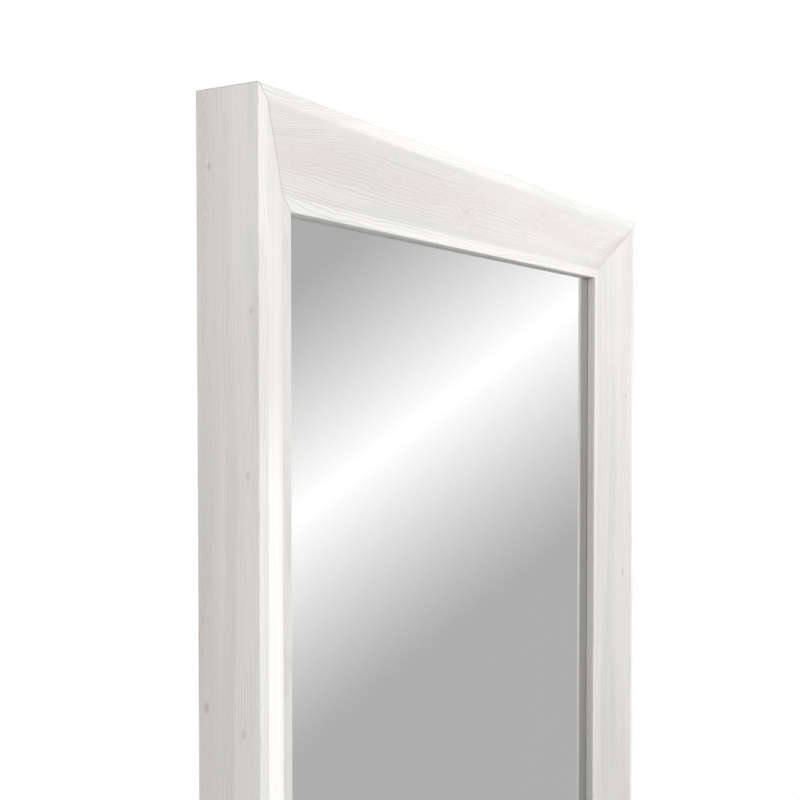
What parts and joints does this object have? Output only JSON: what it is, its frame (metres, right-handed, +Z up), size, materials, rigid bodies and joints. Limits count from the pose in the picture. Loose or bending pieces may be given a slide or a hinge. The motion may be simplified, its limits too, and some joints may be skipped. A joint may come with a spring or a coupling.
{
  "type": "over the door mirror",
  "caption": "Full-length mirror in a mitred whitewashed wooden frame, hung over the top of a door on two height-adjustable steel hangers.",
  "frame": {"origin": "midway between the two hangers, on the line where the door's front face meets its top edge", "axes": "+X to the viewer's right along the door, +Y from the viewer into the door, +Z up"},
  "size_m": [0.356, 0.082, 1.2753],
  "materials": {
    "whitewashed_wood": "thin white wash over pale pine, satin lacquer",
    "mirror": "silvered float glass, painted back",
    "hardboard": "pressed brown hardboard, fine mesh side out",
    "zinc_steel": "bright zinc plated",
    "brass": "plain turned brass",
    "felt": "grey adhesive felt",
    "rubber": "matt black rubber"
  },
  "bodies": {
    "mirror": {"top_rail": "whitewashed_wood", "bottom_rail": "whitewashed_wood", "left_stile": "whitewashed_wood", "right_stile": "whitewashed_wood", "mirror_glass": "mirror", "backing_board": "hardboard", "glazing_point_top_1": "zinc_steel", "glazing_point_top_2": "zinc_steel", "glazing_point_right_1": "zinc_steel", "glazing_point_right_2": "zinc_steel", "glazing_point_right_3": "zinc_steel", "glazing_point_right_4": "zinc_steel", "glazing_point_right_5": "zinc_steel", "glazing_point_bottom_1": "zinc_steel", "glazing_point_bottom_2": "zinc_steel", "glazing_point_left_1": "zinc_steel", "glazing_point_left_2": "zinc_steel", "glazing_point_left_3": "zinc_steel", "glazing_point_left_4": "zinc_steel", "glazing_point_left_5": "zinc_steel", "v_nail_top_1": "zinc_steel", "v_nail_top_2": "zinc_steel", "v_nail_right_1": "zinc_steel", "v_nail_right_2": "zinc_steel", "v_nail_bottom_1": "zinc_steel", "v_nail_bottom_2": "zinc_steel", "v_nail_left_1": "zinc_steel", "v_nail_left_2": "zinc_steel", "threaded_insert_left_a": "brass", "threaded_insert_left_b": "brass", "threaded_insert_right_a": "brass", "threaded_insert_right_b": "brass", "left_bumper": "rubber", "right_bumper": "rubber"},
    "left_hanger": {"left_hanger": "zinc_steel", "left_hanger_top_pad": "felt", "left_hanger_rear_pad": "felt"},
    "right_hanger": {"right_hanger": "zinc_steel", "right_hanger_top_pad": "felt", "right_hanger_rear_pad": "felt"},
    "washer_left_a": {"washer_left_a": "zinc_steel"},
    "clamp_screw_left_a": {"clamp_screw_left_a": "zinc_steel"},
    "washer_left_b": {"washer_left_b": "zinc_steel"},
    "clamp_screw_left_b": {"clamp_screw_left_b": "zinc_steel"},
    "washer_right_a": {"washer_right_a": "zinc_steel"},
    "clamp_screw_right_a": {"clamp_screw_right_a": "zinc_steel"},
    "washer_right_b": {"washer_right_b": "zinc_steel"},
    "clamp_screw_right_b": {"clamp_screw_right_b": "zinc_steel"}
  },
  "joints": [
    {"name": "left_hanger_height", "type": "slide", "parent": "mirror", "child": "left_hanger", "axis": [0, 0, 1], "range_m": [0, 0.06]},
    {"name": "right_hanger_height", "type": "slide", "parent": "mirror", "child": "right_hanger", "axis": [0, 0, 1], "range_m": [0, 0.06]},
    {"name": "washer_left_a_lift", "type": "slide", "parent": "mirror", "child": "washer_left_a", "axis": [0, 1, 0], "range_m": [0, 0.0016]},
    {"name": "clamp_screw_left_a_turn", "type": "hinge", "parent": "washer_left_a", "child": "clamp_screw_left_a", "pos_m": [-0.096, -0.0029, -0.01515], "axis": [0, 1, 0], "range_deg": [0, 720]},
    {"name": "washer_left_b_lift", "type": "slide", "parent": "mirror", "child": "washer_left_b", "axis": [0, 1, 0], "range_m": [0, 0.0016]},
    {"name": "clamp_screw_left_b_turn", "type": "hinge", "parent": "washer_left_b", "child": "clamp_screw_left_b", "pos_m": [-0.076, -0.0029, -0.01515], "axis": [0, 1, 0], "range_deg": [0, 720]},
    {"name": "washer_right_a_lift", "type": "slide", "parent": "mirror", "child": "washer_right_a", "axis": [0, 1, 0], "range_m": [0, 0.0016]},
    {"name": "clamp_screw_right_a_turn", "type": "hinge", "parent": "washer_right_a", "child": "clamp_screw_right_a", "pos_m": [0.076, -0.0029, -0.01515], "axis": [0, 1, 0], "range_deg": [0, 720]},
    {"name": "washer_right_b_lift", "type": "slide", "parent": "mirror", "child": "washer_right_b", "axis": [0, 1, 0], "range_m": [0, 0.0016]},
    {"name": "clamp_screw_right_b_turn", "type": "hinge", "parent": "washer_right_b", "child": "clamp_screw_right_b", "pos_m": [0.096, -0.0029, -0.01515], "axis": [0, 1, 0], "range_deg": [0, 720]}
  ],
  "couplings": [
    {"joint": "clamp_screw_left_a_turn", "follows": "washer_left_a_lift", "rad_per_m": 7854},
    {"joint": "clamp_screw_left_b_turn", "follows": "washer_left_b_lift", "rad_per_m": 7854},
    {"joint": "clamp_screw_right_a_turn", "follows": "washer_right_a_lift", "rad_per_m": 7854},
    {"joint": "clamp_screw_right_b_turn", "follows": "washer_right_b_lift", "rad_per_m": 7854}
  ]
}
